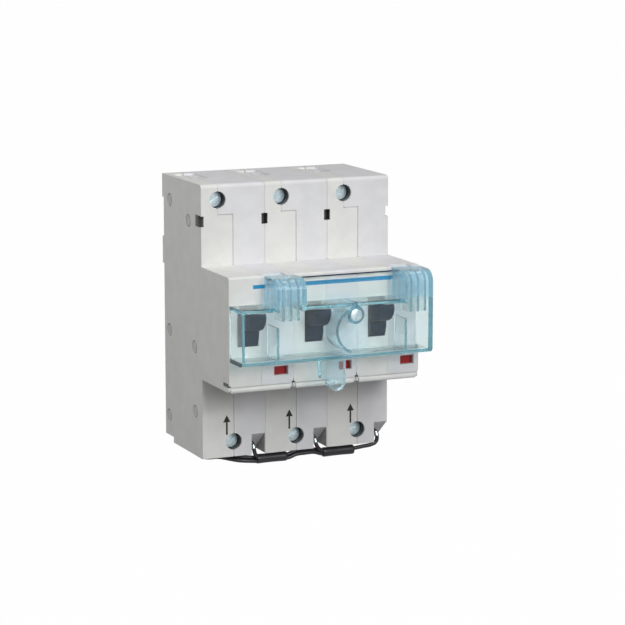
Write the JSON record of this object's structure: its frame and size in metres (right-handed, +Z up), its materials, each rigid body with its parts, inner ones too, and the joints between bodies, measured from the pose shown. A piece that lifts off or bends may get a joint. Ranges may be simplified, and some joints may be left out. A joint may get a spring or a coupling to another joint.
{
  "type": "selective main circuit breaker",
  "caption": "Three-pole selective main circuit breaker for bar mounting, with dark toggles under a clear sealable hood and red position flags.",
  "frame": {"origin": "centre of the middle pole's bar contact face, on the plane of the bars' front faces", "axes": "+Z up, +Y back towards the bars, +X to the right seen from the front"},
  "size_m": [0.0808, 0.0846, 0.1137],
  "materials": {
    "casing_plastic": "fine matt moulded light grey",
    "toggle_plastic": "satin dark blue-grey",
    "flag_red": "glossy deep red",
    "hood_clear": "clear, tinted pale blue",
    "zinc_steel": "bright zinc plate",
    "copper": "bare copper",
    "contact_alloy": "silvered contact arm",
    "chute_steel": "dull plated steel",
    "lead_black": "satin black insulation"
  },
  "bodies": {
    "casing": {"shell_left_1": "casing_plastic", "shell_right_1": "casing_plastic", "shell_left_2": "casing_plastic", "shell_right_2": "casing_plastic", "shell_left_3": "casing_plastic", "shell_right_3": "casing_plastic", "bar_contact_1": "copper", "bar_contact_2": "copper", "bar_contact_3": "copper", "arc_chute_1": "chute_steel", "arc_chute_2": "chute_steel", "arc_chute_3": "chute_steel", "trip_coil_1": "copper", "trip_coil_2": "copper", "trip_coil_3": "copper", "terminal_strip_1": "copper", "terminal_strip_2": "copper", "terminal_strip_3": "copper", "bimetal_1": "zinc_steel", "bimetal_2": "zinc_steel", "bimetal_3": "zinc_steel", "tie_rivet_1": "zinc_steel", "tie_rivet_2": "zinc_steel", "tie_rivet_3": "zinc_steel", "tie_rivet_4": "zinc_steel", "tie_rivet_5": "zinc_steel", "tie_rivet_6": "zinc_steel", "pole_lead_1": "lead_black", "pole_lead_2": "lead_black", "pole_lead_3": "lead_black", "sleeve_left": "lead_black", "sleeve_right": "lead_black", "link_lead_front": "lead_black", "link_lead_rear": "lead_black", "tail_lead_front": "lead_black", "tail_lead_rear": "lead_black"},
    "toggle_1": {"toggle_1": "toggle_plastic"},
    "toggle_2": {"toggle_2": "toggle_plastic"},
    "toggle_3": {"toggle_3": "toggle_plastic"},
    "flag_1": {"flag_1": "flag_red"},
    "flag_2": {"flag_2": "flag_red"},
    "flag_3": {"flag_3": "flag_red"},
    "moving_contact_1": {"moving_contact_1": "contact_alloy"},
    "moving_contact_2": {"moving_contact_2": "contact_alloy"},
    "moving_contact_3": {"moving_contact_3": "contact_alloy"},
    "upper_screw_1": {"upper_screw_1": "zinc_steel"},
    "upper_screw_2": {"upper_screw_2": "zinc_steel"},
    "upper_screw_3": {"upper_screw_3": "zinc_steel"},
    "upper_clamp_1": {"upper_clamp_1": "zinc_steel"},
    "upper_clamp_2": {"upper_clamp_2": "zinc_steel"},
    "upper_clamp_3": {"upper_clamp_3": "zinc_steel"},
    "lower_screw_1": {"lower_screw_1": "zinc_steel"},
    "lower_screw_2": {"lower_screw_2": "zinc_steel"},
    "lower_screw_3": {"lower_screw_3": "zinc_steel"},
    "lower_clamp_1": {"lower_clamp_1": "zinc_steel"},
    "lower_clamp_2": {"lower_clamp_2": "zinc_steel"},
    "lower_clamp_3": {"lower_clamp_3": "zinc_steel"},
    "hood": {"hood": "hood_clear"},
    "seal_screw": {"seal_screw": "zinc_steel"}
  },
  "joints": [
    {"name": "toggle_1_throw", "type": "hinge", "parent": "casing", "child": "toggle_1", "pos_m": [-0.027, -0.0625, 0.0035], "axis": [1, 0, 0], "range_deg": [0, 40]},
    {"name": "toggle_2_throw", "type": "hinge", "parent": "casing", "child": "toggle_2", "pos_m": [0, -0.0625, 0.0035], "axis": [1, 0, 0], "range_deg": [0, 40]},
    {"name": "toggle_3_throw", "type": "hinge", "parent": "casing", "child": "toggle_3", "pos_m": [0.027, -0.0625, 0.0035], "axis": [1, 0, 0], "range_deg": [0, 40]},
    {"name": "contact_1_lift", "type": "hinge", "parent": "casing", "child": "moving_contact_1", "pos_m": [-0.027, -0.048, 0.001], "axis": [1, 0, 0], "range_deg": [0, 20]},
    {"name": "contact_2_lift", "type": "hinge", "parent": "casing", "child": "moving_contact_2", "pos_m": [0, -0.048, 0.001], "axis": [1, 0, 0], "range_deg": [0, 20]},
    {"name": "contact_3_lift", "type": "hinge", "parent": "casing", "child": "moving_contact_3", "pos_m": [0.027, -0.048, 0.001], "axis": [1, 0, 0], "range_deg": [0, 20]},
    {"name": "flag_1_slide", "type": "slide", "parent": "casing", "child": "flag_1", "axis": [0, 0, 1], "range_m": [0, 0.005]},
    {"name": "flag_2_slide", "type": "slide", "parent": "casing", "child": "flag_2", "axis": [0, 0, 1], "range_m": [0, 0.005]},
    {"name": "flag_3_slide", "type": "slide", "parent": "casing", "child": "flag_3", "axis": [0, 0, 1], "range_m": [0, 0.005]},
    {"name": "upper_screw_1_turn", "type": "hinge", "parent": "casing", "child": "upper_screw_1", "pos_m": [-0.0333, -0.0375, 0.0513], "axis": [0, 1, 0], "range_deg": [0, 1576]},
    {"name": "upper_screw_2_turn", "type": "hinge", "parent": "casing", "child": "upper_screw_2", "pos_m": [-0.0063, -0.0375, 0.0513], "axis": [0, 1, 0], "range_deg": [0, 1576]},
    {"name": "upper_screw_3_turn", "type": "hinge", "parent": "casing", "child": "upper_screw_3", "pos_m": [0.0207, -0.0375, 0.0513], "axis": [0, 1, 0], "range_deg": [0, 1576]},
    {"name": "upper_clamp_1_draw", "type": "slide", "parent": "casing", "child": "upper_clamp_1", "axis": [0, -1, 0], "range_m": [0, 0.0035]},
    {"name": "upper_clamp_2_draw", "type": "slide", "parent": "casing", "child": "upper_clamp_2", "axis": [0, -1, 0], "range_m": [0, 0.0035]},
    {"name": "upper_clamp_3_draw", "type": "slide", "parent": "casing", "child": "upper_clamp_3", "axis": [0, -1, 0], "range_m": [0, 0.0035]},
    {"name": "lower_screw_1_turn", "type": "hinge", "parent": "casing", "child": "lower_screw_1", "pos_m": [-0.027, -0.0375, -0.0459], "axis": [0, 1, 0], "range_deg": [0, 1576]},
    {"name": "lower_screw_2_turn", "type": "hinge", "parent": "casing", "child": "lower_screw_2", "pos_m": [0, -0.0375, -0.0459], "axis": [0, 1, 0], "range_deg": [0, 1576]},
    {"name": "lower_screw_3_turn", "type": "hinge", "parent": "casing", "child": "lower_screw_3", "pos_m": [0.027, -0.0375, -0.0459], "axis": [0, 1, 0], "range_deg": [0, 1576]},
    {"name": "lower_clamp_1_draw", "type": "slide", "parent": "casing", "child": "lower_clamp_1", "axis": [0, -1, 0], "range_m": [0, 0.0035]},
    {"name": "lower_clamp_2_draw", "type": "slide", "parent": "casing", "child": "lower_clamp_2", "axis": [0, -1, 0], "range_m": [0, 0.0035]},
    {"name": "lower_clamp_3_draw", "type": "slide", "parent": "casing", "child": "lower_clamp_3", "axis": [0, -1, 0], "range_m": [0, 0.0035]},
    {"name": "hood_lift", "type": "hinge", "parent": "casing", "child": "hood", "pos_m": [0, -0.0676, 0.0228], "axis": [-1, 0, 0], "range_deg": [0, 90]},
    {"name": "seal_screw_turn", "type": "hinge", "parent": "hood", "child": "seal_screw", "pos_m": [0.0076, -0.083, 0.0094], "axis": [0, -1, 0], "range_deg": [0, 1080]}
  ],
  "couplings": [
    {"joint": "flag_2_slide", "follows": "flag_1_slide", "ratio": 1},
    {"joint": "flag_3_slide", "follows": "flag_1_slide", "ratio": 1},
    {"joint": "toggle_1_throw", "follows": "flag_1_slide", "rad_per_m": 139.6},
    {"joint": "toggle_2_throw", "follows": "flag_1_slide", "rad_per_m": 139.6},
    {"joint": "toggle_3_throw", "follows": "flag_1_slide", "rad_per_m": 139.6},
    {"joint": "contact_1_lift", "follows": "flag_1_slide", "rad_per_m": 69.8},
    {"joint": "contact_2_lift", "follows": "flag_1_slide", "rad_per_m": 69.8},
    {"joint": "contact_3_lift", "follows": "flag_1_slide", "rad_per_m": 69.8},
    {"joint": "upper_screw_1_turn", "follows": "upper_clamp_1_draw", "rad_per_m": 7854},
    {"joint": "upper_screw_2_turn", "follows": "upper_clamp_2_draw", "rad_per_m": 7854},
    {"joint": "upper_screw_3_turn", "follows": "upper_clamp_3_draw", "rad_per_m": 7854},
    {"joint": "lower_screw_1_turn", "follows": "lower_clamp_1_draw", "rad_per_m": 7854},
    {"joint": "lower_screw_2_turn", "follows": "lower_clamp_2_draw", "rad_per_m": 7854},
    {"joint": "lower_screw_3_turn", "follows": "lower_clamp_3_draw", "rad_per_m": 7854}
  ]
}
